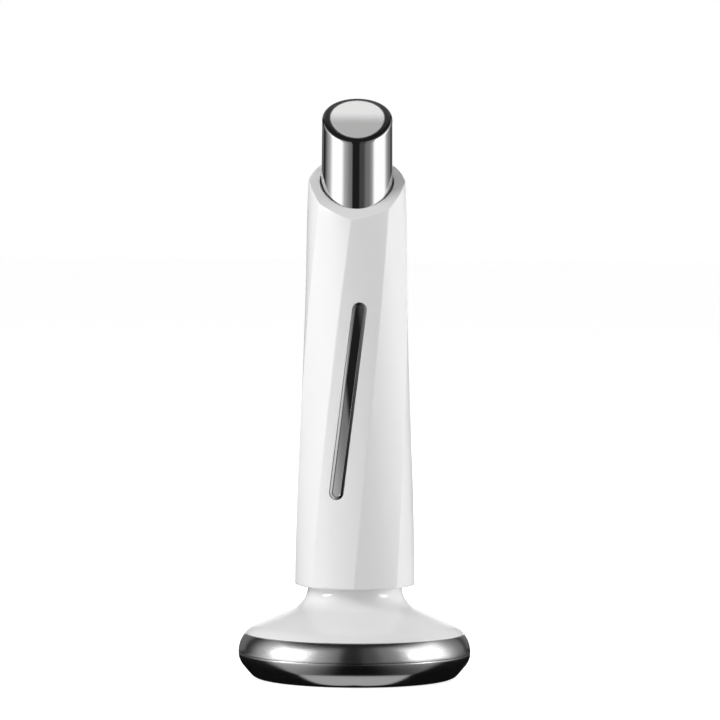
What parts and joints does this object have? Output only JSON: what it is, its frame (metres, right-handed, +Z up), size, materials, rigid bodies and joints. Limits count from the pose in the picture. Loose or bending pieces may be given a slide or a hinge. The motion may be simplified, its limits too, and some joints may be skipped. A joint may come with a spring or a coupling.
{
  "type": "heated eye massager wand",
  "caption": "Two-ended beauty wand: slanted metal tip that warms and vibrates for the eye area, twisted faceted white handle with a contact strip, and a broad polished plate it stands on.",
  "frame": {"origin": "centre of the flat underside of the massage plate, on the wand's long axis", "axes": "+Z up the wand towards the eye tip; -Y the front, towards which the tip's slanted face looks; +X to the right seen from the front"},
  "size_m": [0.0522, 0.0522, 0.1301],
  "materials": {
    "white_shell": "glossy moulded, pure white",
    "white_base": "glossy moulded, pure white",
    "button_white": "satin moulded, white",
    "tip_chrome": "polished sides and rim, satin face",
    "ring_chrome": "polished plating",
    "plate_chrome": "polished plating",
    "strip_chrome": "polished plating",
    "strip_mirror": "dark mirror",
    "lens": "frosted clear",
    "steel": "plain",
    "socket_steel": "bright",
    "black_plastic": "plain",
    "grey_plastic": "plain",
    "black_rubber": "matt",
    "grey_rubber": "matt",
    "board_green": "solder mask",
    "heater_film": "amber film",
    "copper": "wound wire",
    "cell_wrap": "shrink wrap",
    "tungsten": "sintered",
    "lead_red": "insulation",
    "lead_blue": "insulation",
    "lead_black": "insulation"
  },
  "bodies": {
    "handle": {"handle_shell": "white_shell", "strip_frame": "strip_chrome", "strip_contact": "strip_mirror", "indicator_lens": "lens", "charge_socket": "socket_steel", "charge_tongue": "black_plastic", "charge_board": "board_green", "charge_screws": "steel", "eye_tip": "tip_chrome", "tip_seal": "grey_rubber", "tip_heater": "heater_film", "tip_thermistor": "black_plastic", "tip_carrier": "grey_plastic", "carrier_screws": "steel", "motor_sleeve": "black_rubber", "motor_can": "steel", "motor_endcap": "grey_plastic", "chassis": "grey_plastic", "circuit_board": "board_green", "board_parts": "black_plastic", "board_screws": "steel", "tact_switch": "grey_plastic", "status_led": "lens", "battery_cell": "cell_wrap", "battery_tabs": "steel", "battery_pads": "black_rubber", "neck_seal": "black_rubber", "base_housing": "white_base", "neck_screws": "steel", "trim_ring": "ring_chrome", "plate_carrier": "grey_plastic", "plate_screws": "steel", "massage_plate": "plate_chrome", "heater_leads": "lead_red", "motor_leads": "lead_blue", "plate_lead": "lead_red", "strip_lead": "lead_blue", "charge_leads": "lead_black"},
    "button": {"power_button": "button_white", "switch_plunger": "black_plastic"},
    "rotor": {"motor_shaft": "steel", "motor_armature": "copper", "eccentric_weight": "tungsten"}
  },
  "joints": [
    {"name": "button_press", "type": "slide", "parent": "handle", "child": "button", "axis": [0, -1, 0], "range_m": [0, 0.0004], "stiffness_N_per_m": 4000},
    {"name": "motor_spin", "type": "hinge", "parent": "handle", "child": "rotor", "pos_m": [0, 0, 0.106], "axis": [0, 0, 1], "continuous": true}
  ]
}
